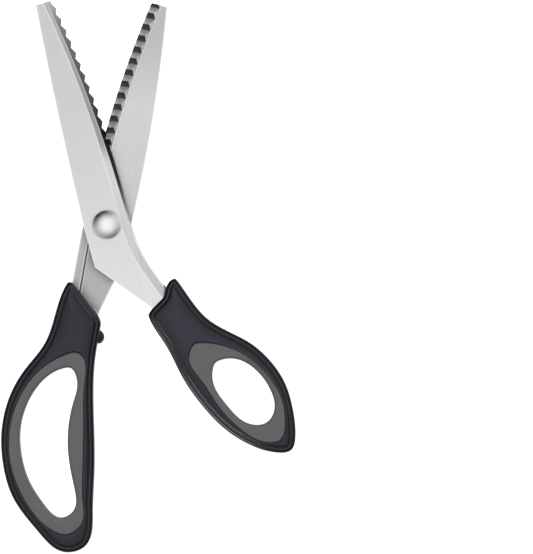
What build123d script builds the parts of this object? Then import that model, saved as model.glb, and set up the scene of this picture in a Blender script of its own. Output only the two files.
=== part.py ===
"""Pinking shears lying flat: two toothed steel blades on one pivot, each in a two-material handle.

Frame: millimetres, +Z up along the pivot axis, +Y towards the blade tips, +X towards the thumb bow.
The origin is on the pivot axis, in the plane of the pivot nut's outer face, which the shears lie on.
The blades are drawn open by the angle at which the shears are stored, which is joint value 0.
Heights inside a blade are measured from the shear plane, where the two toothed lands meet.
side is 1 for the front blade, whose outer face looks up, and -1 for the rear blade, its mirror form.
"""

from build123d import *
from math import cos, radians, sin, tan
import os

# Overall sizes
BLADE_REACH = 97.0  # pivot axis to the blade tips
FINGER_BOW = 114.0  # length of the finger handle
THUMB_BOW = 87.4  # length of the thumb handle, along its own axis
HANDLE_THICKNESS = 14.0

# Blade section, from the shear plane outwards
TOOTH_PITCH = 5.0
TOOTH_HEIGHT = 1.8
SHEAR_GAP = 0.05  # each land stands this far back from the shear surface
RECESS_MARGIN = 0.25  # the plate clears the other blade's teeth by this much
PLATE = 2.5
FLANGE_SLOPE = 22.0  # outer bevel along the flange, degrees from flat
STEEP_SLOPE = 58.0  # toothed face of the front blade, and the inside wall of both flanges
LAND_WIDTH = 2.85  # toothed land, measured at the tooth crests

# Blade plan: distances from a blade's centre line at the pivot, half way up and at the tip
FRONT_TILT, REAR_TILT = 15.6, 13.3  # how far each centre line leans from +Y
FRONT_EDGE = (11.0, 9.5, 3.4)  # lowest line of the front blade's toothed face
FRONT_CREASE = (5.7, 5.1, -0.7)  # where its flange bevel starts
FRONT_WALL = (9.7, 9.0, 2.0)  # its plain flange, below the teeth
REAR_EDGE = (9.6, 8.9, 2.9)
REAR_CREASE = (5.8, 5.1, -0.9)
FRONT_BACK, REAR_BACK = (9.6, 7.4, 4.0), (10.0, 8.45, 3.3)  # the plain back edges
TEETH_FROM = 32.25  # radius at which the teeth begin
REAR_SHORT = 1.9  # the rear blade ends this far below the front one
FRONT_TIP_ROUND, REAR_TIP_ROUND = 2.0, 0.8
NECK_START = 12.0  # the head's curved edges begin this far above the pivot
NECK_RADIUS = 65.0  # bend of the flange from the head into the tang

# Tangs: a point and a direction of each flange edge, then the corners of the rest
FRONT_TANG_EDGE = ((20.0, -19.4), (0.587, -0.81))
REAR_TANG_EDGE = ((-13.0, -15.4), (-0.176, -0.984))
FRONT_HEEL, REAR_HEEL = 16.0, 16.0  # the back edges run this far past the pivot
FRONT_SHOULDER = ((19.6, -35.6), (31.6, -16.0))  # line on which the front tang enters its handle
REAR_SHOULDER = ((-3.8, -37.8), (-20.0, -18.0))
TONGUE_WIDTH, TONGUE_LENGTH, TONGUE_OVERLAP = 9.0, 18.0, 9.0  # the overlap is inside the tang
TONGUE_HOLE, TONGUE_HOLE_PLACE = 5.0, 10.8  # diameter, and distance from the root
FRONT_TONGUE = ((22.4, -30.8), -53.0)  # middle of its root, and its direction in degrees
REAR_TONGUE = ((-9.4, -31.2), -103.0)

# Pivot
SHANK_DIAMETER = 6.0
SHANK_CLEARANCE = 0.04
HEAD_DIAMETER, HEAD_HEIGHT, HEAD_RIM = 11.8, 2.6, 0.6
END_GAP = 0.05  # play of the front blade under the head, and above the spacer
SPACER_DIAMETER = 11.0
WASHER_DIAMETER, SPRING_SHEET, SPRING_DISH, WASHER_SHEET = 10.6, 0.4, 0.2, 0.6
NUT_ACROSS_FLATS, NUT_HEIGHT = 10.0, 2.8
NUT_CHAMFER, NUT_CHAMFER_HEIGHT = 0.6, 0.3
THREAD_GAP = 0.02

# Handles: each outline is (along, across) in the handle's own frame. The first and last groups are
# measured from the mouth, the middle group back from the far end, so a longer bow keeps its walls.
FINGER_MOUTH, FINGER_ANGLE = 23.8, -90.0  # pivot axis to the handle's start, and its direction
FINGER_SHELL = (
    ((0.0, -16.2), (6.0, -19.3), (16.3, -22.4), (26.2, -26.2), (36.5, -34.1), (46.2, -40.0), (62.0, -44.2)),
    ((37.4, -43.7), (22.8, -39.3), (8.7, -28.8), (0.2, -18.0), (2.4, -9.3), (17.8, -5.9), (33.0, -5.3)),
    ((65.0, -5.3), (51.2, -5.7), (32.0, -4.9), (20.8, -3.0), (17.4, -2.4)),
)
FINGER_LIP = ((13.8, -3.9), (9.6, -7.7), (2.7, -12.8), (0.6, -14.4))
FINGER_GRIP = (
    ((29.7, -14.0), (34.9, -25.2), (44.5, -34.2), (61.2, -40.5)),
    ((37.8, -40.4), (22.8, -34.8), (9.8, -23.4), (7.6, -17.0), (12.6, -10.3), (21.0, -10.0), (33.8, -10.1)),
    ((56.2, -9.8), (43.2, -9.4), (34.4, -9.0), (31.2, -10.4)),
)
FINGER_HOLE = (
    ((36.2, -16.4), (40.1, -25.2), (49.7, -32.7), (62.4, -36.5)),
    ((42.8, -36.3), (31.1, -33.3), (20.3, -26.8), (14.4, -19.2), (18.8, -13.4), (25.0, -13.2), (33.5, -15.0)),
    ((64.9, -16.4), (50.2, -13.9), (41.4, -12.5)),
)
THUMB_MOUTH, THUMB_ANGLE = 35.0, -53.0
THUMB_SHELL = (
    ((0.0, 9.5), (6.2, 9.4), (15.8, 9.2), (21.2, 9.8), (31.7, 13.9), (40.9, 18.2), (52.9, 20.5)),
    ((23.7, 19.7), (13.3, 15.8), (4.2, 10.3), (0.0, 4.8), (2.9, -0.6), (12.8, -7.9), (23.6, -12.0)),
    ((49.4, -13.8), (34.9, -13.2), (20.1, -10.7), (12.4, -10.3), (5.7, -9.1)),
)
THUMB_LIP = ((4.7, -6.3), (3.7, 0.7), (0.5, 4.8), (-0.3, 6.9))
THUMB_GRIP = (
    ((27.6, 0.9), (35.1, 8.6), (45.5, 14.1), (58.0, 15.9)),
    ((20.7, 14.8), (11.1, 9.9), (6.3, 3.9), (9.8, -2.1), (20.9, -7.0)),
    ((59.3, -8.3), (41.0, -7.8), (29.4, -5.4)),
)
THUMB_HOLE = (
    ((38.8, 2.5), (44.6, 10.8), (55.8, 13.7)),
    ((25.4, 13.1), (17.7, 9.2), (15.5, 3.6), (19.6, -2.7), (31.0, -5.4)),
    ((44.4, -4.1), (40.2, -0.9)),
)
SHELL_ROUND = 2.4
INSET_STEPS = 24  # points that a smooth loop inside another is drawn through
GRIP_ROUND = 1.2
GRIP_INSET = 0.3  # the soft grip's faces lie this far below the shell's
KEY_DEPTH, KEY_HEIGHT = 1.0, 4.0  # groove round the grip, filled by a rib of the shell
BUMPER_DIAMETER, BUMPER_PROUD, BUMPER_SUNK, BUMPER_RIM = 5.6, 2.6, 1.2, 0.9
BUMPER_STEM, BUMPER_STEM_LENGTH = 3.0, 1.6
BUMPER_DISTANCE, BUMPER_SEAT = 47.2, -3.7  # its centre below the pivot, and the shell's side there

# Heights that follow
CREST = TOOTH_HEIGHT / 2
FLOOR = CREST + RECESS_MARGIN
OUTER = FLOOR + PLATE
SPRING_HEIGHT = SPRING_SHEET + SPRING_DISH
SHEAR_Z = OUTER + SPRING_HEIGHT + WASHER_SHEET + NUT_HEIGHT
SHANK_HOLE = SHANK_DIAMETER / 2 + SHANK_CLEARANCE
PAST = 30.0  # cutters run this far past what they cut
ASIDE = 15.0  # how far outside a flange they reach


def along(angle, distance, across=0.0):
    """The plan point this far along a direction and this far to the left of it."""
    a = radians(angle)
    return (distance * cos(a) - across * sin(a), distance * sin(a) + across * cos(a))


def on_blade(width, height, tilt, side):
    """A plan point given by its distances from a blade's centre line and up it. +width is the edge."""
    x, y = along(90 + tilt, height, -width)
    return (side * x, y)


def meeting(point_a, dir_a, point_b, dir_b):
    """Where two lines in the plan cross."""
    (ax, ay), (bx, by), (ux, uy), (vx, vy) = point_a, point_b, dir_a, dir_b
    k = ((bx - ax) * vy - (by - ay) * vx) / (ux * vy - uy * vx)
    return (ax + k * ux, ay + k * uy)


def head_arc(widths):
    """The curve through a blade's widths at the pivot, half way up and at the tip."""
    low, middle, high = widths
    return ThreePointArc((low, 0), (middle, BLADE_REACH / 2), (high, BLADE_REACH))


def flank(tilt, side, widths, tang_edge, outwards, reach=BLADE_REACH):
    """A path along a flange: down the head from reach, past the pivot, round the neck, down the tang.

    outwards moves the tang's line away from the blade's middle. The path runs on past both ends.
    """
    whole = head_arc(widths)
    first, last = NECK_START / BLADE_REACH, reach / BLADE_REACH
    low, middle, high = (whole @ t for t in (first, (first + last) / 2, last))
    beyond = high + (whole % last) * PAST
    slope = whole % first
    low, middle, high, beyond = (on_blade(p.X, p.Y, tilt, side) for p in (low, middle, high, beyond))
    down = on_blade(-slope.X, -slope.Y, tilt, side)
    (x, y), (dx, dy) = tang_edge
    start = (x - side * dy * outwards, y + side * dx * outwards)
    corner = meeting(low, down, start, (dx, dy))
    end = (start[0] + dx * PAST, start[1] + dy * PAST)
    head = ThreePointArc(high, middle, low)
    if reach == BLADE_REACH:
        head = Line(beyond, high) + head
    return Wire([*head.edges(), *FilletPolyline(low, corner, end, radius=NECK_RADIUS).edges()])


def swept(path, side, profile):
    """A cutter along a flank. Its profile is (distance into the blade, height off the shear plane)."""
    inwards = Vector(0, 0, 1).cross(path % 0) * (-side)
    section = Plane(origin=path @ 0, x_dir=inwards, z_dir=inwards.cross(Vector(0, 0, 1)))
    return sweep(section * Polygon(*((d, side * h) for d, h in profile), align=None), path=path)


def wall_cutter(path, side):
    """Everything outside an upright wall."""
    return swept(path, side, ((0, -PAST), (0, PAST), (-ASIDE, PAST), (-ASIDE, -PAST)))


def bevel_cutter(path, side, height, slope):
    """Everything outside a face that falls away outwards from this height on the path."""
    drop = ASIDE * tan(radians(slope))
    rise = PAST / tan(radians(slope))
    return swept(path, side, ((rise, height + PAST), (-ASIDE, height - drop), (-ASIDE, height + PAST)))


def recess_cutter(path, side):
    """The hollow of the plate behind the toothed land, with a sloping wall beside the land."""
    run = (FLOOR + CREST + PAST) / tan(radians(STEEP_SLOPE))
    top = LAND_WIDTH + (FLOOR + CREST) / tan(radians(STEEP_SLOPE))
    low = top - run
    return swept(path, side, ((top, FLOOR), (low, -PAST), (PAST, -PAST), (PAST, FLOOR)))


def shear_cutter(side):
    """The space of the other blade: a surface turned about the pivot, so it meshes at every angle."""
    gap = side * SHEAR_GAP
    points = [(0, gap), (TEETH_FROM, gap)]
    radius, rising = TEETH_FROM + TOOTH_PITCH / 4, -1
    while radius < BLADE_REACH + TOOTH_PITCH:
        points.append((radius, rising * CREST + gap))
        radius, rising = radius + TOOTH_PITCH / 2, -rising
    end = points[-1][0]
    points += [(end, -side * PAST), (0, -side * PAST)]
    return revolve(Plane.XZ * Polygon(*points, align=None), axis=Axis.Z)


def blank(side, tilt, back_edge, heel, shoulder, tongue):
    """A blade's plan at full thickness: back edge and tang are final, the flange side is cut later."""
    low, middle, high = back_edge
    widths = ((high, BLADE_REACH), (middle, BLADE_REACH / 2), (low, 0))
    back = [on_blade(-w, h, tilt, side) for w, h in widths]
    heel = on_blade(-low, -heel, tilt, side)
    spare = on_blade(FRONT_EDGE[0], 0, tilt, side)
    tip = on_blade(FRONT_EDGE[0], BLADE_REACH, tilt, side)
    near, far = shoulder
    outline = ThreePointArc(*back) + Polyline(back[2], heel, near, far, spare, tip, back[0])
    (x, y), angle = tongue
    root = Pos(x, y) * Rot(Z=angle)
    strip = Rectangle(TONGUE_LENGTH + TONGUE_OVERLAP, TONGUE_WIDTH)
    plan = make_face(outline.edges()) + root * Pos((TONGUE_LENGTH - TONGUE_OVERLAP) / 2) * strip
    solid = extrude(Pos(0, 0, -side * CREST) * plan, amount=side * (OUTER + CREST))
    hole = root * Pos(TONGUE_HOLE_PLACE) * Cylinder(TONGUE_HOLE / 2, PAST)
    return solid - hole - Cylinder(SHANK_HOLE, PAST)


def tip_envelope(side, tilt, widths, reach, rounding):
    """All that lies inside a blade's end and its flange's line there, with their corner rounded."""
    bow, end = head_arc(widths), reach / BLADE_REACH
    corner = bow @ end
    below = corner - (bow % end) * (2 * BLADE_REACH)
    plan = ((corner.X, corner.Y), (below.X, below.Y), (-BLADE_REACH, below.Y), (-BLADE_REACH, corner.Y))
    face = Polygon(*(on_blade(w, h, tilt, side) for w, h in plan), align=None)
    point = face.vertices().sort_by_distance(on_blade(corner.X, corner.Y, tilt, side))[0]
    return extrude(fillet(point, rounding), PAST, both=True)


def blade(solid, side, envelope, cutters):
    """A finished blade, at its height."""
    solid &= envelope
    for cutter in cutters:
        solid -= cutter
    return Pos(Z=SHEAR_Z) * (solid - shear_cutter(side))


def front_blade():
    """Upper blade: a plain bevelled flange, then a steep face that the teeth cut into scallops."""
    spare = FRONT_EDGE[0] - FRONT_WALL[0]
    edge = flank(FRONT_TILT, 1, FRONT_EDGE, FRONT_TANG_EDGE, spare)
    wall = flank(FRONT_TILT, 1, FRONT_WALL, FRONT_TANG_EDGE, 0, reach=TEETH_FROM)
    crease = flank(FRONT_TILT, 1, FRONT_CREASE, FRONT_TANG_EDGE, FRONT_CREASE[0] - FRONT_WALL[0])
    cutters = (
        wall_cutter(wall, 1),
        bevel_cutter(edge, 1, -CREST, STEEP_SLOPE),
        bevel_cutter(crease, 1, OUTER, FLANGE_SLOPE),
        recess_cutter(edge, 1),
    )
    solid = blank(1, FRONT_TILT, FRONT_BACK, FRONT_HEEL, FRONT_SHOULDER, FRONT_TONGUE)
    return blade(solid, 1, tip_envelope(1, FRONT_TILT, FRONT_EDGE, BLADE_REACH, FRONT_TIP_ROUND), cutters)


def rear_blade():
    """Lower blade: an upright edge, with its toothed land and hollow facing up."""
    edge = flank(REAR_TILT, -1, REAR_EDGE, REAR_TANG_EDGE, 0)
    crease = flank(REAR_TILT, -1, REAR_CREASE, REAR_TANG_EDGE, REAR_CREASE[0] - REAR_EDGE[0])
    cutters = (wall_cutter(edge, -1), bevel_cutter(crease, -1, OUTER, FLANGE_SLOPE), recess_cutter(edge, -1))
    solid = blank(-1, REAR_TILT, REAR_BACK, REAR_HEEL, REAR_SHOULDER, REAR_TONGUE)
    envelope = tip_envelope(-1, REAR_TILT, REAR_EDGE, BLADE_REACH - REAR_SHORT, REAR_TIP_ROUND)
    return blade(solid, -1, envelope, cutters)


def domed(diameter, rim, height):
    """A domed button standing on Z = 0: a short cylinder under a shallow spherical cap."""
    r, cap = diameter / 2, height - rim
    ball = (r * r + cap * cap) / (2 * cap)
    return Pos(Z=height / 2) * Cylinder(r, height) & Pos(Z=height - ball) * Sphere(ball)


def pivot_screw():
    """Domed head and shank in one piece. The shank ends level with the nut."""
    head = Pos(Z=SHEAR_Z + OUTER + END_GAP) * domed(HEAD_DIAMETER, HEAD_RIM, HEAD_HEIGHT)
    length = SHEAR_Z + OUTER + END_GAP
    return head + Pos(Z=length / 2) * Cylinder(SHANK_DIAMETER / 2, length)


def ring(diameter, bore, low, high):
    """A flat washer between two heights."""
    middle = Pos(Z=(low + high) / 2)
    return middle * (Cylinder(diameter / 2, high - low) - Cylinder(bore, high - low))


def spacer_washer():
    """Fills the hollow between the two plates round the shank."""
    return ring(SPACER_DIAMETER, SHANK_HOLE, SHEAR_Z - FLOOR, SHEAR_Z + FLOOR - END_GAP)


def spring_washer():
    """Dished washer that presses the rear blade up: it touches the blade at its rim only."""
    low, outer, bore = NUT_HEIGHT + WASHER_SHEET, WASHER_DIAMETER / 2, SHANK_HOLE
    inner = ((bore, low), (bore, low + SPRING_SHEET))
    points = (*inner, (outer, low + SPRING_HEIGHT), (outer, low + SPRING_DISH))
    return revolve(Plane.XZ * Polygon(*points, align=None), axis=Axis.Z)


def nut_washer():
    """Flat washer between the spring washer and the nut."""
    return ring(WASHER_DIAMETER, SHANK_HOLE, NUT_HEIGHT, NUT_HEIGHT + WASHER_SHEET)


def pivot_nut():
    """Hexagon nut on the underside, with its corners turned off at both faces."""
    body = extrude(RegularPolygon(NUT_ACROSS_FLATS / 2, 6, major_radius=False), NUT_HEIGHT)
    corner = NUT_ACROSS_FLATS / 2 / cos(radians(30))
    turned = Pos(Z=NUT_HEIGHT / 2) * Cylinder(corner, NUT_HEIGHT)
    turned = chamfer(turned.edges(), NUT_CHAMFER_HEIGHT, NUT_CHAMFER)
    return (body & turned) - Cylinder(SHANK_DIAMETER / 2 + THREAD_GAP, PAST)


def outline_points(start, angle, length, groups):
    """Plan points of a handle outline whose middle group is measured back from the far end."""
    first, far, last = groups
    local = (*first, *((length - a, c) for a, c in far), *last)
    return [along(angle, start + a, c) for a, c in local]


def raised(edges):
    """The face inside these edges, looking up."""
    face = make_face(edges).face()
    return face if face.normal_at().Z > 0 else -face


def loop_face(start, angle, length, groups):
    """A smooth closed outline."""
    return raised(Spline(*outline_points(start, angle, length, groups), periodic=True).edges())


def shell(start, angle, length, outer, lip, grip_face, blade_solid):
    """Hard handle shell: rounded outside, open at the grip, and moulded round the blade's tang."""
    around = Spline(*outline_points(start, angle, length, outer))
    mouth = Polyline(around @ 1, *(along(angle, start + a, c) for a, c in lip), around @ 0)
    body = extrude(raised([*around.edges(), *mouth.edges()]), HANDLE_THICKNESS)
    faces = body.faces().sort_by(Axis.Z)
    sides = [max(face.edges(), key=lambda e: e.length) for face in (faces[0], faces[-1])]
    body = body.fillet(SHELL_ROUND, sides)
    opening = extrude(grip_face, HANDLE_THICKNESS) - grip_groove(grip_face)
    return body - opening - blade_solid


def inset(face, depth):
    """A smooth face this far inside another one that looks up."""
    loop = face.outer_wire()
    steps = [i / INSET_STEPS for i in range(INSET_STEPS)]
    left = [Vector(0, 0, 1).cross(loop % t).normalized() * depth for t in steps]
    a, b = ([(loop @ t) + side * n for t, n in zip(steps, left)] for side in (1, -1))
    return min((raised(Spline(*points, periodic=True).edges()) for points in (a, b)), key=lambda f: f.area)


def grip_groove(grip_face):
    """The rib that keys a grip into its shell, as a closed band inside the grip's outline."""
    band = grip_face - inset(grip_face, KEY_DEPTH)
    return Pos(Z=(HANDLE_THICKNESS - KEY_HEIGHT) / 2) * extrude(band, KEY_HEIGHT)


def grip(grip_face, hole_face):
    """Soft lining of a bow, between the shell's opening and the finger hole."""
    height = HANDLE_THICKNESS - 2 * GRIP_INSET
    body = Pos(Z=GRIP_INSET) * extrude(grip_face - hole_face, height)
    faces = body.faces().sort_by(Axis.Z)
    lips = [min(face.edges(), key=lambda e: e.length) for face in (faces[0], faces[-1])]
    return body.fillet(GRIP_ROUND, lips) - grip_groove(grip_face)


def stop_bumper():
    """Soft domed stop set in the finger handle, facing the thumb handle."""
    button = domed(BUMPER_DIAMETER, BUMPER_SUNK + BUMPER_RIM, BUMPER_SUNK + BUMPER_PROUD)
    stem = Pos(Z=-BUMPER_STEM_LENGTH / 2) * Cylinder(BUMPER_STEM / 2, BUMPER_STEM_LENGTH)
    seat = Pos(BUMPER_SEAT - BUMPER_SUNK, -BUMPER_DISTANCE, HANDLE_THICKNESS / 2)
    return seat * Rot(Y=90) * (button + stem)


def build():
    """Every piece by its name."""
    front, rear, bumper = front_blade(), rear_blade(), stop_bumper()
    finger_face = loop_face(FINGER_MOUTH, FINGER_ANGLE, FINGER_BOW, FINGER_GRIP)
    finger_hole = loop_face(FINGER_MOUTH, FINGER_ANGLE, FINGER_BOW, FINGER_HOLE)
    thumb_face = loop_face(THUMB_MOUTH, THUMB_ANGLE, THUMB_BOW, THUMB_GRIP)
    thumb_hole = loop_face(THUMB_MOUTH, THUMB_ANGLE, THUMB_BOW, THUMB_HOLE)
    finger = shell(FINGER_MOUTH, FINGER_ANGLE, FINGER_BOW, FINGER_SHELL, FINGER_LIP, finger_face, rear)
    return {
        "front_blade": front,
        "rear_blade": rear,
        "pivot_screw": pivot_screw(),
        "spacer_washer": spacer_washer(),
        "spring_washer": spring_washer(),
        "nut_washer": nut_washer(),
        "pivot_nut": pivot_nut(),
        "finger_handle": finger - bumper,
        "finger_grip": grip(finger_face, finger_hole),
        "stop_bumper": bumper,
        "thumb_handle": shell(THUMB_MOUTH, THUMB_ANGLE, THUMB_BOW, THUMB_SHELL, THUMB_LIP, thumb_face, front),
        "thumb_grip": grip(thumb_face, thumb_hole),
    }


os.makedirs("parts", exist_ok=True)
for name, piece in build().items():
    export_step(piece, f"parts/{name}.step")
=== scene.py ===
"""Looks of the pinking shears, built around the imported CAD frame. Lengths are metres unless named _MM."""

import math

import bmesh
import bpy
import numpy as np
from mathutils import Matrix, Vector
from mathutils.geometry import delaunay_2d_cdt


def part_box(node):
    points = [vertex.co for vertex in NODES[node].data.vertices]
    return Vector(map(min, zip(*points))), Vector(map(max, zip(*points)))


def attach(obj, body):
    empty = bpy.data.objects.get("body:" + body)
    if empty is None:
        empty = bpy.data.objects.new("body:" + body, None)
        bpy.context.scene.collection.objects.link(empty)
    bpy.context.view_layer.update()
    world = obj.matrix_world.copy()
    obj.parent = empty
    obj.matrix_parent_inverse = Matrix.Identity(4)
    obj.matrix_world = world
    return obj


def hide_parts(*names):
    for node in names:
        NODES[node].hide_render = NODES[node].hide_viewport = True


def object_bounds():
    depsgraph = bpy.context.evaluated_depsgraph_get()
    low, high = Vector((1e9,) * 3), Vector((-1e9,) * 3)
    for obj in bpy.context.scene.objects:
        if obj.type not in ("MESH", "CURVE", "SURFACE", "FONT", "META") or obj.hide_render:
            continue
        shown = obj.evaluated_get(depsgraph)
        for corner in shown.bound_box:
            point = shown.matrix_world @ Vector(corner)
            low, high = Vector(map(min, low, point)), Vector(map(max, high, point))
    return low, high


MM = 0.001
JOINED = 1e-6  # points closer than this are one
WHITE, DARK = (1, 1, 1, 1), (0, 0, 0, 1)
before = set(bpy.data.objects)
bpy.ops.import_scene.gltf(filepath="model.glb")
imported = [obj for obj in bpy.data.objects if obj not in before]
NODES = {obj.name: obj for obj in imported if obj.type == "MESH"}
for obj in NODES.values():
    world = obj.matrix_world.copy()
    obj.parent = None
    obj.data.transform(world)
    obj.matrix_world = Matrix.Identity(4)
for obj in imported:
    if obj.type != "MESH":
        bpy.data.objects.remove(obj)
CAD_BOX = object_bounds()

# How the photograph frames the object: the middle of the view from the pivot, and the view's height
RENDER_SIZE = (533, 554)
VIEW_MIDDLE_MM = (67.1, -22.0)
VIEW_HEIGHT_MM = 232.7
VIEW_DISTANCE = 2.4
SENSOR_MM = 24.0

# Tones of the surroundings: two walls facing each other, a paler side and the ceiling
PALE_WALLS = (0.86, 0.51, 0.0)
PALER_SIDE = (0.95, -0.33, 0.0)
WALL_BASE, WALL_STRENGTH, SIDE_STRENGTH = 0.05, 0.62, 0.15
OVERHEAD = 1.0
OVERHEAD_FROM = (0.42, 1.0)  # heights of direction between which the walls give way to the ceiling
LOWEST_TONE = 0.02
FLOOR_GAP = 0.0001  # keeps the sheet clear of the flat undersides
FLOOR_MIDDLE, FLOOR_HALF = (0.03, -0.02), 1.6
HANDLES_MIDDLE = (0.02, -0.08, 0.01)

# Steel
FRONT_LEAN, REAR_LEAN = math.radians(15.6), math.radians(-13.3)  # how far each blade leans from +Y
FRONT_SIDE, REAR_SIDE = (0.96, 0.27, 0), (-0.97, 0.23, 0)  # where each toothed edge faces
TOWARDS_PIVOT = (-0.32, -0.95, 0)  # along the rear blade
TEETH_FROM = (0.026, 0.034)  # where the rear blade's painted tooth shade begins, along +Y
ALL_ALONG = (-0.05, -0.04)  # before the start of either blade
SHADE_MM = 6.0  # how far off a neighbour casts painted shade on the steel
# width of the painted highlight along the edges of nearly level steel faces
EDGE_HIGHLIGHT_MM = 0.9
BRUSH_DEPTH = 0.00002
SHARP = math.radians(14)  # shading breaks at edges sharper than this
SOFTENED = math.radians(28)  # and edges sharper than this are rounded

# Handle relief: pairs of a distance from an outline and how far the surface sinks there, in millimetres
SLICE_MM = 2.7  # height at which the shells and grips are cut for their outlines
LOOP_STEP_MM = 0.6
CORNER_PASSES = 3
RIM_MM = (
    (0.0, 3.0), (0.12, 2.6), (0.35, 2.28), (0.7, 2.02), (1.1, 1.8), (1.5, 1.66), (1.8, 1.72), (2.0, 1.7),
    (2.2, 1.42), (2.45, 1.14), (2.8, 0.98), (3.4, 0.82), (4.2, 0.62), (5.2, 0.41), (6.4, 0.2), (8.0, 0.05),
    (9.5, 0.0),
)
# The shell at its opening, the lining at the hole and the lining at its rim
SEAM_MM = ((0.0, 0.4), (0.08, 0.2), (0.22, 0.1), (0.5, 0.03), (0.9, 0.0))
LIP_MM = ((0.0, 1.3), (0.12, 0.85), (0.35, 0.5), (0.7, 0.24), (1.15, 0.1), (1.7, 0.03), (2.4, 0.0))
EDGE_MM = ((0.0, 0.78), (0.08, 0.64), (0.22, 0.55), (0.5, 0.5), (0.9, 0.48))
GRID_MM = 1.0
CLEAR_MM = 0.5  # between the grid and the lines that follow the outlines
SLACK_MM = 0.02  # how much nearer than its own distance a point of such a line may be
WALL_ROWS = 7  # rows of points down an upright wall


# ---------------------------------------------------------------- materials

def material(name):
    """An empty node material, its shader and a function that adds nodes."""
    mat = bpy.data.materials.new(name)
    mat.use_nodes = True
    tree = mat.node_tree
    shader = tree.nodes["Principled BSDF"]

    def add(kind, inputs=None, **settings):
        node = tree.nodes.new(kind)
        for key, value in settings.items():
            setattr(node, key, value)
        for key, value in (inputs or {}).items():
            if isinstance(value, bpy.types.NodeSocket):
                tree.links.new(value, node.inputs[key])
            else:
                node.inputs[key].default_value = value
        return node

    return mat, shader, add


def wire(mat, source, target):
    """Join two sockets of a material."""
    mat.node_tree.links.new(source, target)


def mapped(add, scale, turn=0.0):
    """Object coordinates, turned about Z and stretched."""
    place = add("ShaderNodeTexCoord")
    turned = add("ShaderNodeMapping", {"Vector": place.outputs["Object"], "Rotation": (0, 0, turn)})
    return add("ShaderNodeMapping", {"Vector": turned.outputs["Vector"], "Scale": scale}).outputs["Vector"]


def ramp(add, factor, stops):
    """A colour ramp. stops are (place, grey or colour)."""
    node = add("ShaderNodeValToRGB", {"Fac": factor})
    for index, (place, value) in enumerate(stops):
        element = node.color_ramp.elements[index] if index < 2 else node.color_ramp.elements.new(place)
        element.position = place
        element.color = (*value, 1) if isinstance(value, tuple) else (value, value, value, 1)
    return node.outputs["Color"]


def along(add, ahead, stops):
    """A painted tone of light and shade that changes along the blade. stops are (millimetres along +Y, grey).
    """
    first, last = stops[0][0], stops[-1][0]
    share = add("ShaderNodeMapRange", {"Value": ahead, "From Min": first * MM, "From Max": last * MM})
    shares = [((place - first) / (last - first), grey) for place, grey in stops]
    return ramp(add, share.outputs["Result"], shares)


def times(add, first, second):
    """Two tones multiplied."""
    node = add("ShaderNodeMixRGB", {"Fac": 1.0, "Color1": first, "Color2": second}, blend_type="MULTIPLY")
    return node.outputs["Color"]


def over(add, mask, below, above):
    """One tone laid over another where the mask is bright."""
    return add("ShaderNodeMixRGB", {"Fac": mask, "Color1": below, "Color2": above}).outputs["Color"]


def upright(add, place):
    """How level a face is: the size of the upright part of its normal."""
    split = add("ShaderNodeSeparateXYZ", {"Vector": place.outputs["Normal"]})
    return add("ShaderNodeMath", {0: split.outputs["Z"]}, operation="ABSOLUTE").outputs["Value"]


def turned(add, place, direction):
    """How far a face turns towards a direction."""
    node = add("ShaderNodeVectorMath", {0: place.outputs["Normal"], 1: direction}, operation="DOT_PRODUCT")
    return node.outputs["Value"]


def brush_marks(add, lean):
    """Fine and coarse streaks along a blade that leans from +Y."""
    fine, coarse = mapped(add, (5200, 95, 900), -lean), mapped(add, (1500, 28, 300), -lean)
    lines = add("ShaderNodeTexNoise", {"Vector": fine, "Scale": 1.0, "Detail": 4.0, "Roughness": 0.62})
    strands = add("ShaderNodeTexNoise", {"Vector": coarse, "Scale": 1.0, "Detail": 2.0})
    return add("ShaderNodeMix", {0: 0.4, 2: lines.outputs["Fac"], 3: strands.outputs["Fac"]}).outputs[0]


def top_tone(add, ahead, level, marks, flats, slopes):
    """The tone of level and slightly sloping faces, painted lighter and darker along the blade, with painted
    shade near a neighbour and a painted highlight along their edges.
    """
    # painted shade: the steel darkens where a neighbouring part is near
    near = add("ShaderNodeAmbientOcclusion", {"Distance": SHADE_MM * MM})
    shaded = ramp(add, near.outputs["AO"], ((0.4, 0.5), (0.92, 1.0)))
    flat = times(add, along(add, ahead, flats), shaded)
    sloping = ramp(add, level, ((0.94, 1.0), (0.985, 0.0)))
    tone = over(add, sloping, flat, along(add, ahead, slopes))
    streaks = ramp(add, marks, ((0.36, 0.86), (0.64, 1.0)))
    # painted highlight: white laid along the edges
    return over(add, painted_edge_highlight(add, level), times(add, streaks, tone), WHITE)


def tooth_shade_mask(add, place, ahead, level, start, side):
    """A mask of the faces that take the painted tooth shade: all faces from start onwards, but steep ones
    only on the toothed side.
    """
    beyond = add("ShaderNodeMapRange", {"Value": ahead, "From Min": start[0], "From Max": start[1]})
    on_side = ramp(add, turned(add, place, side), ((0.2, 0.0), (0.35, 1.0)))
    allowed = over(add, ramp(add, level, ((0.7, 0.0), (0.72, 1.0))), on_side, WHITE)
    return times(add, beyond.outputs["Result"], allowed)


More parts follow.
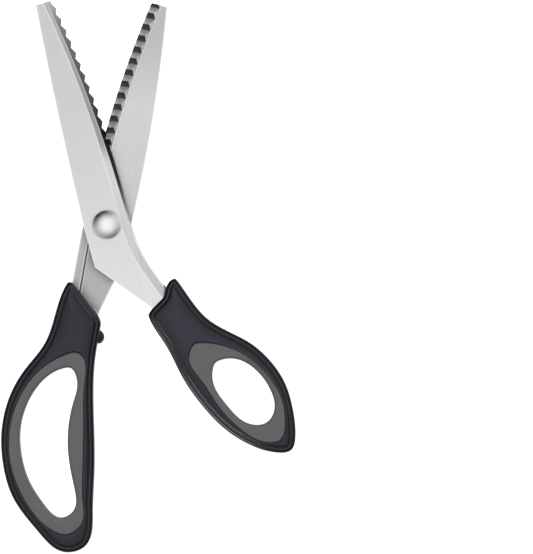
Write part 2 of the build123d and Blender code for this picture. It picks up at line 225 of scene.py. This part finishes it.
def brushed_steel(name, lean, rough, flats, slopes, teeth, start, band, flanks, facing, side, frost=0.0):
    """Stainless steel, brushed along the blade, with painted light and shade: its tooth faces have painted
    tones of their own.

    lean turns the brushing from +Y. flats, slopes and teeth are painted tones of light and shade along the
    blade of level faces, slightly sloping ones and the tooth flanks, whose upright part is inside band, from
    start onwards.
    flanks are two shares of the teeth's tone, turned away from facing and towards it, painted shade that
    darkens the flanks turned one way. side is where the toothed edge faces, and frost is how matt the steep
    walls on that side are.
    """
    mat, shader, add = material(name)
    place = add("ShaderNodeTexCoord")
    ahead = add("ShaderNodeSeparateXYZ", {"Vector": place.outputs["Object"]}).outputs["Y"]
    level = upright(add, place)
    marks = brush_marks(add, lean)
    top = top_tone(add, ahead, level, marks, flats, slopes)
    # painted shade: tooth flanks turned one way are darker than those turned the other
    share = ramp(add, turned(add, place, facing), ((0.0, flanks[0]), (0.45, flanks[1])))
    flank = times(add, along(add, ahead, teeth), share)
    shaded_teeth = tooth_shade_mask(add, place, ahead, level, start, side)
    low, high = band
    steep = ramp(add, level, ((low, 0.0), (low + 0.02, 1.0), (high, 1.0), (high + 0.02, 0.0)))
    wire(mat, over(add, times(add, steep, shaded_teeth), top, flank), shader.inputs["Base Color"])
    spread = add("ShaderNodeMapRange", {"Value": marks, "From Min": 0.3, "From Max": 0.7,
                                        "To Min": rough - 0.06, "To Max": rough + 0.08})
    wire(mat, spread.outputs["Result"], shader.inputs["Roughness"])
    bump = add("ShaderNodeBump", {"Strength": 0.25, "Distance": BRUSH_DEPTH, "Height": marks})
    wire(mat, bump.outputs["Normal"], shader.inputs["Normal"])
    shader.inputs["Metallic"].default_value = 1.0
    if frost:
        matt = times(add, ramp(add, level, ((0.66, frost), (0.7, 0.0))), shaded_teeth)
        wire(mat, over(add, matt, WHITE, DARK), shader.inputs["Metallic"])
    return mat


def painted_edge_highlight(add, level):
    """A painted highlight: a fine bright line on nearly level faces where they meet another face."""
    rounded = add("ShaderNodeBevel", {"Radius": EDGE_HIGHLIGHT_MM * MM})
    flat = add("ShaderNodeNewGeometry").outputs["True Normal"]
    same = add("ShaderNodeVectorMath", {0: rounded.outputs["Normal"], 1: flat}, operation="DOT_PRODUCT")
    turn = ramp(add, same.outputs["Value"], ((0.994, 0.9), (0.9992, 0.0)))
    return times(add, turn, ramp(add, level, ((0.88, 0.0), (0.91, 1.0))))


def polished_steel(name, base, rough):
    """Bright steel with fine turned rings and small wear."""
    mat, shader, add = material(name)
    place = add("ShaderNodeTexCoord")
    rings = add("ShaderNodeTexWave", {"Vector": place.outputs["Object"], "Scale": 900.0, "Distortion": 0.6,
                                      "Detail": 2.0, "Detail Scale": 400.0}, wave_type="RINGS",
                rings_direction="Z")
    smudge = add("ShaderNodeTexNoise", {"Vector": place.outputs["Object"], "Scale": 260.0, "Detail": 4.0})
    colour = ramp(add, smudge.outputs["Fac"], ((0.35, base - 0.05), (0.65, base + 0.03)))
    wire(mat, colour, shader.inputs["Base Color"])
    spread = add("ShaderNodeMapRange", {"Value": smudge.outputs["Fac"], "From Min": 0.3, "From Max": 0.7,
                                        "To Min": rough, "To Max": rough + 0.1})
    wire(mat, spread.outputs["Result"], shader.inputs["Roughness"])
    bump = add("ShaderNodeBump", {"Strength": 0.06, "Distance": BRUSH_DEPTH, "Height": rings.outputs["Fac"]})
    wire(mat, bump.outputs["Normal"], shader.inputs["Normal"])
    shader.inputs["Metallic"].default_value = 1.0
    return mat


def moulded(name, dark, light, rough, gloss, grain_mm, depth_mm, slopes=1.0):
    """Moulded plastic or soft lining, finely grained and a little uneven.

    Its tone runs between dark and light, and its sloping faces have only the share slopes of it, a painted
    shade.
    """
    mat, shader, add = material(name)
    place = add("ShaderNodeTexCoord")
    grain = add("ShaderNodeTexNoise", {"Vector": place.outputs["Object"], "Scale": 1 / (grain_mm * MM),
                                       "Detail": 3.0, "Roughness": 0.6})
    patches = add("ShaderNodeTexNoise", {"Vector": place.outputs["Object"], "Scale": 45.0, "Detail": 3.0})
    both = add("ShaderNodeMix", {0: 0.45, 2: patches.outputs["Fac"], 3: grain.outputs["Fac"]})
    colour = ramp(add, both.outputs[0], ((0.38, dark), (0.62, light)))
    # painted shade: sloping faces darker than level ones
    painted_slope_shade = ramp(add, upright(add, place), ((0.93, slopes), (0.998, 1.0)))
    wire(mat, times(add, colour, painted_slope_shade), shader.inputs["Base Color"])
    spread = add("ShaderNodeMapRange", {"Value": both.outputs[0], "From Min": 0.35, "From Max": 0.65,
                                        "To Min": rough - 0.05, "To Max": rough + 0.06})
    wire(mat, spread.outputs["Result"], shader.inputs["Roughness"])
    depth = depth_mm * MM
    bump = add("ShaderNodeBump", {"Strength": 0.35, "Distance": depth, "Height": grain.outputs["Fac"]})
    wire(mat, bump.outputs["Normal"], shader.inputs["Normal"])
    shader.inputs["Specular IOR Level"].default_value = gloss
    return mat


# ---------------------------------------------------------------- outlines

def place_of(vert):
    """Sorts points by where they are, so that every run starts each outline at the same one."""
    return tuple(vert.co)


def cut_loops(node, height):
    """The closed outlines in which a level plane cuts a CAD node, in millimetres, longest first."""
    bm = bmesh.new()
    bm.from_mesh(NODES[node].data)
    bmesh.ops.remove_doubles(bm, verts=bm.verts, dist=JOINED)
    every = bm.verts[:] + bm.edges[:] + bm.faces[:]
    bmesh.ops.bisect_plane(bm, geom=every, plane_co=(0, 0, height), plane_no=(0, 0, 1), dist=1e-7,
                           clear_inner=True, clear_outer=True)
    bmesh.ops.remove_doubles(bm, verts=bm.verts, dist=JOINED)
    loops, left = [], set(bm.verts)
    for here in sorted(bm.verts, key=place_of):
        chain = []
        while here in left:
            left.discard(here)
            chain.append(here)
            onward = [e.other_vert(here) for e in here.link_edges if e.other_vert(here) in left]
            here = min(onward, key=place_of, default=here)
        if chain:
            loops.append(np.array([v.co[:2] for v in chain]) / MM)
    bm.free()
    return sorted(loops, key=length, reverse=True)


def length(loop):
    """Length round a closed outline."""
    return float(np.linalg.norm(loop - np.roll(loop, 1, axis=0), axis=1).sum())


def area(loop):
    """Signed area, positive when the outline runs anticlockwise."""
    ahead = np.roll(loop, -1, axis=0)
    return 0.5 * float((loop[:, 0] * ahead[:, 1] - ahead[:, 0] * loop[:, 1]).sum())


def even(loop, step):
    """The outline with evenly spaced points and its corners slightly rounded."""
    closed = np.vstack([loop, loop[:1]])
    along = np.concatenate([[0], np.cumsum(np.linalg.norm(np.diff(closed, axis=0), axis=1))])
    places = np.linspace(0, along[-1], max(int(along[-1] / step), 8), endpoint=False)
    points = np.column_stack([np.interp(places, along, closed[:, i]) for i in (0, 1)])
    for _ in range(CORNER_PASSES):
        points = 0.5 * points + 0.25 * (np.roll(points, 1, axis=0) + np.roll(points, -1, axis=0))
    return points


def inwards(loop):
    """Unit normals to the left of an outline."""
    run = np.roll(loop, -1, axis=0) - np.roll(loop, 1, axis=0)
    run /= np.linalg.norm(run, axis=1)[:, None]
    return np.column_stack([-run[:, 1], run[:, 0]])


def distance(points, loop):
    """Each point's distance to an outline."""
    run = np.roll(loop, -1, axis=0) - loop
    best = np.full(len(points), np.inf)
    for (x, y), (dx, dy) in zip(loop, run):
        east, north = points[:, 0] - x, points[:, 1] - y
        share = np.clip((east * dx + north * dy) / (dx * dx + dy * dy), 0, 1)
        best = np.minimum(best, np.hypot(east - share * dx, north - share * dy))
    return best


def inside(points, loop):
    """Whether each point is inside an outline."""
    x, y = points[:, 0], points[:, 1]
    odd = np.zeros(len(points), bool)
    for (ax, ay), (bx, by) in zip(loop, np.roll(loop, -1, axis=0)):
        if ay != by:
            crosses = (ay > y) != (by > y)
            odd ^= crosses & (x < (bx - ax) * (y - ay) / (by - ay) + ax)
    return odd


# ---------------------------------------------------------------- relief pieces

def rings(loop, other, drops, keep_off):
    """Points on lines inside an outline, at each distance of a profile, clear of the other outline."""
    found = [loop]
    normals = inwards(loop)
    for gap, _ in drops[1:]:
        line = loop + normals * gap
        clear = (distance(line, loop) > gap - SLACK_MM) & (distance(line, other) > keep_off)
        found.append(line[clear])
    return np.vstack(found)


def relief(name, outer, inner, low, high, outer_drops, inner_drops):
    """A closed moulding between two outlines. Its top and bottom sink towards each, as the drops say."""
    outer = outer if area(outer) > 0 else outer[::-1]
    inner = inner if area(inner) < 0 else inner[::-1]
    reach_out, reach_in = outer_drops[-1][0], inner_drops[-1][0]
    from_outer = rings(outer, inner, outer_drops, reach_in)
    from_inner = rings(inner, outer, inner_drops, reach_in)
    grid = hexagons(outer)
    grid = grid[inside(grid, outer) & ~inside(grid, inner)]
    grid = grid[distance(grid, outer) > reach_out + CLEAR_MM]
    grid = grid[distance(grid, inner) > reach_in + CLEAR_MM]
    points = np.vstack([from_outer, from_inner, grid])
    n_out, n_in, first_in = len(outer), len(inner), len(from_outer)
    around = [(i, (i + 1) % n_out) for i in range(n_out)]
    around += [(first_in + i, first_in + (i + 1) % n_in) for i in range(n_in)]
    flat, _, faces, origin, *_ = delaunay_2d_cdt([Vector(p) for p in points], around, [], 0, 1e-4)
    flat = np.array([tuple(v) for v in flat])
    middle = np.array([flat[list(f)].mean(0) for f in faces])
    keep_face = inside(middle, outer) & ~inside(middle, inner)
    faces = [f for f, k in zip(faces, keep_face) if k]
    drop = np.interp(distance(flat, outer), *zip(*outer_drops))
    drop += np.interp(distance(flat, inner), *zip(*inner_drops))
    return closed_mesh(name, flat, faces, drop, low, high)


def hexagons(outer):
    """A grid of points in rows over an outline's box."""
    (x0, y0), (x1, y1) = outer.min(0), outer.max(0)
    rows = np.arange(y0, y1, GRID_MM * math.sqrt(3) / 2)
    line = np.arange(x0, x1, GRID_MM)
    return np.vstack([np.column_stack([line + GRID_MM / 2 * (i % 2), np.full(len(line), y)])
                      for i, y in enumerate(rows)])


def closed_mesh(name, flat, faces, drop, low, high):
    """Top and bottom surfaces joined by upright walls."""
    bm = bmesh.new()
    top = [bm.verts.new((x * MM, y * MM, high - d * MM)) for (x, y), d in zip(flat, drop)]
    bottom = [bm.verts.new((x * MM, y * MM, low + d * MM)) for (x, y), d in zip(flat, drop)]
    for face in faces:
        bm.faces.new([top[i] for i in face])
        bm.faces.new([bottom[i] for i in reversed(face)])
    number = {v: i for i, v in enumerate(top)}
    rim = [e for e in bm.edges if e.is_boundary and e.verts[0] in number]
    share = np.linspace(0, 1, WALL_ROWS)[1:-1]
    columns = {}
    for edge in rim:
        for vert in edge.verts:
            i = number[vert]
            if i not in columns:
                between = [bm.verts.new(top[i].co.lerp(bottom[i].co, s)) for s in share]
                columns[i] = [top[i], *between, bottom[i]]
    for edge in rim:
        loop = edge.link_loops[0]
        a, b = columns[number[loop.vert]], columns[number[loop.link_loop_next.vert]]
        for row in range(WALL_ROWS - 1):
            bm.faces.new((b[row], a[row], a[row + 1], b[row + 1]))
    bmesh.ops.remove_doubles(bm, verts=bm.verts, dist=1e-7)
    bmesh.ops.delete(bm, geom=[v for v in bm.verts if not v.link_faces], context="VERTS")
    bmesh.ops.recalc_face_normals(bm, faces=bm.faces)
    mesh = bpy.data.meshes.new(name)
    bm.to_mesh(mesh)
    bm.free()
    mesh.shade_smooth()
    obj = bpy.data.objects.new(name, mesh)
    bpy.context.scene.collection.objects.link(obj)
    return obj


def handle(prefix, body):
    """The shell and the soft lining of one handle, cut from the CAD pieces' own outlines."""
    shell_node, grip_node = prefix + "_handle", prefix + "_grip"
    low, high = (corner.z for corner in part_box(shell_node))
    outer, opening = (even(loop, LOOP_STEP_MM) for loop in cut_loops(shell_node, low + SLICE_MM * MM)[:2])
    shell = relief(prefix + "_shell", outer, opening, low, high, RIM_MM, SEAM_MM)
    low, high = (corner.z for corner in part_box(grip_node))
    rim, hole = (even(loop, LOOP_STEP_MM) for loop in cut_loops(grip_node, low + SLICE_MM * MM)[:2])
    lining = relief(prefix + "_lining", rim, hole, low, high, EDGE_MM, LIP_MM)
    pairs = ((shell, shell_node, "handle_black", BLACK), (lining, grip_node, "grip_grey", GREY))
    for piece, node, slot, finish in pairs:
        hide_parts(node)
        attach(piece, body)
        piece.data.materials.append(finish)
    return shell


# ---------------------------------------------------------------- CAD pieces that stay

def crisp_edges():
    """A node group that joins doubled points and shades smooth, except across the sharper edges."""
    group = bpy.data.node_groups.new("crisp_edges", "GeometryNodeTree")
    group.interface.new_socket("Geometry", in_out="INPUT", socket_type="NodeSocketGeometry")
    group.interface.new_socket("Geometry", in_out="OUTPUT", socket_type="NodeSocketGeometry")
    start, end = group.nodes.new("NodeGroupInput"), group.nodes.new("NodeGroupOutput")
    merge = group.nodes.new("GeometryNodeMergeByDistance")
    merge.inputs["Distance"].default_value = JOINED
    angle = group.nodes.new("GeometryNodeInputMeshEdgeAngle")
    sharper = group.nodes.new("FunctionNodeCompare")
    sharper.inputs["B"].default_value = SHARP
    normals = group.nodes.new("GeometryNodeSetMeshNormal")
    normals.inputs["Remove Custom"].default_value = True
    join = group.links.new
    join(start.outputs[0], merge.inputs["Geometry"])
    join(merge.outputs["Geometry"], normals.inputs["Mesh"])
    join(angle.outputs["Unsigned Angle"], sharper.inputs["A"])
    join(sharper.outputs["Result"], normals.inputs["Edge Sharpness"])
    join(normals.outputs["Mesh"], end.inputs[0])
    return group


def dress(node, finish, bevel_mm, segments=2):
    """Give a CAD node its finish and soften its edges with modifiers."""
    obj = NODES[node]
    obj.data.materials.clear()
    obj.data.materials.append(finish)
    obj.modifiers.new("crisp", "NODES").node_group = CRISP
    soften = obj.modifiers.new("soften", "BEVEL")
    soften.width = bevel_mm * MM
    soften.segments = segments
    soften.limit_method = "ANGLE"
    soften.angle_limit = SOFTENED
    soften.harden_normals = True
    soften.use_clamp_overlap = True


# ---------------------------------------------------------------- stage

def floor():
    """A flat pale sheet, wide enough for every view."""
    bm = bmesh.new()
    bmesh.ops.create_grid(bm, x_segments=24, y_segments=24, size=FLOOR_HALF)
    mesh = bpy.data.meshes.new("floor")
    bm.to_mesh(mesh)
    bm.free()
    sheet = bpy.data.objects.new("floor", mesh)
    sheet.location = (*FLOOR_MIDDLE, CAD_BOX[0][2] - FLOOR_GAP)
    bpy.context.scene.collection.objects.link(sheet)
    mat, shader, add = material("floor_paper")
    place = add("ShaderNodeTexCoord")
    fibre = add("ShaderNodeTexNoise", {"Vector": place.outputs["Object"], "Scale": 300.0, "Detail": 3.0})
    colour = ramp(add, fibre.outputs["Fac"], ((0.3, 0.93), (0.7, 0.95)))
    wire(mat, colour, shader.inputs["Base Color"])
    wire(mat, colour, shader.inputs["Emission Color"])
    shader.inputs["Emission Strength"].default_value = 0.85
    shader.inputs["Roughness"].default_value = 0.9
    shader.inputs["Specular IOR Level"].default_value = 0.1
    sheet.data.materials.append(mat)


def soft_light(name, place, size, power, target):
    """A large white panel aimed at a point."""
    data = bpy.data.lights.new(name, "AREA")
    data.shape = "RECTANGLE"
    data.size, data.size_y = size
    data.energy = power
    lamp = bpy.data.objects.new(name, data)
    lamp.location = place
    lamp.rotation_euler = (Vector(target) - Vector(place)).to_track_quat("-Z", "Y").to_euler()
    lamp.visible_glossy = False
    bpy.context.scene.collection.objects.link(lamp)
    return lamp


def gloss_light(name, place, size, power, target, pieces):
    """A panel that only these pieces mirror."""
    lamp = soft_light(name, place, size, power, target)
    lamp.visible_glossy = True
    lamp.visible_diffuse = False
    group = bpy.data.collections.new(name)
    for piece in pieces:
        group.objects.link(piece)
    lamp.light_linking.receiver_collection = group


def sky():
    """Studio surroundings, seen in the metal: bright overhead, with two pale walls that face each other."""
    world = bpy.data.worlds.new("studio")
    bpy.context.scene.world = world
    world.use_nodes = True
    tree = world.node_tree
    place = tree.nodes.new("ShaderNodeTexCoord").outputs["Generated"]

    def towards(direction):
        node = tree.nodes.new("ShaderNodeVectorMath")
        node.operation = "DOT_PRODUCT"
        tree.links.new(place, node.inputs[0])
        node.inputs[1].default_value = direction
        return node.outputs["Value"]

    def sums(kind, a, b, c=0.0):
        node = tree.nodes.new("ShaderNodeMath")
        node.operation = kind
        for socket, value in zip(node.inputs, (a, b, c)):
            if isinstance(value, float):
                socket.default_value = value
            else:
                tree.links.new(value, socket)
        return node.outputs["Value"]

    both_walls = sums("POWER", sums("ABSOLUTE", towards(PALE_WALLS), 0.0), 2.0)
    low_down = sums("MULTIPLY_ADD", both_walls, WALL_STRENGTH, WALL_BASE)
    low_down = sums("MULTIPLY_ADD", towards(PALER_SIDE), SIDE_STRENGTH, low_down)
    low_down = sums("MAXIMUM", low_down, LOWEST_TONE)
    raised = tree.nodes.new("ShaderNodeMapRange")
    raised.interpolation_type = "SMOOTHSTEP"
    raised.inputs["From Min"].default_value, raised.inputs["From Max"].default_value = OVERHEAD_FROM
    tree.links.new(towards((0, 0, 1)), raised.inputs["Value"])
    gap = sums("SUBTRACT", OVERHEAD, low_down)
    tone = sums("MULTIPLY_ADD", gap, raised.outputs["Result"], low_down)
    tree.links.new(tone, tree.nodes["Background"].inputs["Color"])


def tones():
    """Plain tones, so that white paper comes out white."""
    bpy.context.scene.view_settings.view_transform = "Standard"


def camera():
    """Straight down from far off, framed as the photograph is."""
    data = bpy.data.cameras.new("camera")
    data.sensor_fit = "VERTICAL"
    data.sensor_height = SENSOR_MM
    data.sensor_width = SENSOR_MM * RENDER_SIZE[0] / RENDER_SIZE[1]
    data.lens = SENSOR_MM * VIEW_DISTANCE / (VIEW_HEIGHT_MM * MM)
    data.clip_end = 20.0
    eye = bpy.data.objects.new("camera", data)
    x, y = VIEW_MIDDLE_MM
    eye.location = (x * MM, y * MM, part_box("front_blade")[1].z + VIEW_DISTANCE)
    bpy.context.scene.collection.objects.link(eye)
    bpy.context.scene.camera = eye


# ---------------------------------------------------------------- the object

# Painted light and shade along the blades: millimetres along +Y, and a grey
FRONT_FLATS = ((-30, 0.88), (0, 0.82), (12, 0.795), (55, 0.73), (93, 0.72))
FRONT_SLOPES = ((-30, 0.82), (-13, 0.86), (18, 1.0), (27, 0.9), (34, 0.5), (60, 0.5), (72, 0.57), (93, 0.66))
FRONT_TEETH = (
    (-30, 0.7), (-8, 0.55), (6, 0.2), (18, 0.04), (30, 0.016),
    (45, 0.024), (60, 0.05), (75, 0.075), (86, 0.13), (93, 0.26),
)
REAR_FLATS = ((-38, 0.56), (-14, 0.58), (5, 0.72), (20, 0.77), (50, 0.81), (78, 0.65), (93, 0.63))
REAR_SLOPES = ((-38, 0.24), (-22, 0.27), (-7, 0.8), (26, 0.9), (93, 1.0))
REAR_TEETH = ((30, 1.0), (93, 1.0))

FRONT_STEEL = brushed_steel(
    "front_steel", lean=FRONT_LEAN, rough=0.36, flats=FRONT_FLATS, slopes=FRONT_SLOPES, teeth=FRONT_TEETH,
    start=ALL_ALONG, band=(-0.02, 0.7), flanks=(0.65, 1.0), facing=FRONT_SIDE, side=FRONT_SIDE)
REAR_STEEL = brushed_steel(
    "rear_steel", lean=REAR_LEAN, rough=0.42, flats=REAR_FLATS, slopes=REAR_SLOPES, teeth=REAR_TEETH,
    start=TEETH_FROM, band=(0.72, 0.88), flanks=(1.0, 0.085), facing=TOWARDS_PIVOT, side=REAR_SIDE, frost=0.8)
POLISHED = polished_steel("polished_steel", 0.92, 0.17)
PLAIN = polished_steel("washer_steel", 0.6, 0.3)
BLACK = moulded("black_plastic", (0.023, 0.023, 0.034), (0.035, 0.035, 0.05), 0.28, 0.22, 0.22, 0.02, 0.12)
GREY = moulded("grey_lining", (0.112, 0.112, 0.113), (0.128, 0.128, 0.129), 0.62, 0.35, 0.3, 0.03)
RUBBER = moulded("bumper_rubber", (0.006, 0.006, 0.008), (0.011, 0.011, 0.013), 0.5, 0.3, 0.5, 0.08)

CRISP = crisp_edges()

camera()
tones()
sky()
floor()
soft_light("key", (-0.55, 0.75, 1.1), (1.2, 0.9), 7.0, (0, 0, 0))
soft_light("fill", (0.75, 0.6, 0.9), (1.0, 0.8), 4.0, (0, 0, 0))

finger_shell = handle("finger", "rear_half")
thumb_shell = handle("thumb", "front_half")
gloss_light("low_gleam", (-0.72, -0.92, 0.55), (0.8, 0.4), 15.0, HANDLES_MIDDLE, [thumb_shell])
gloss_light("high_gleam", (0.9, 0.8, 0.5), (0.7, 0.4), 5.0, HANDLES_MIDDLE, [finger_shell])
dress("front_blade", FRONT_STEEL, 0.06)
dress("rear_blade", REAR_STEEL, 0.06)
dress("pivot_screw", POLISHED, 0.15, 3)
dress("pivot_nut", POLISHED, 0.1)
dress("stop_bumper", RUBBER, 0.3, 3)
for washer in ("spacer_washer", "spring_washer", "nut_washer"):
    dress(washer, PLAIN, 0.05)
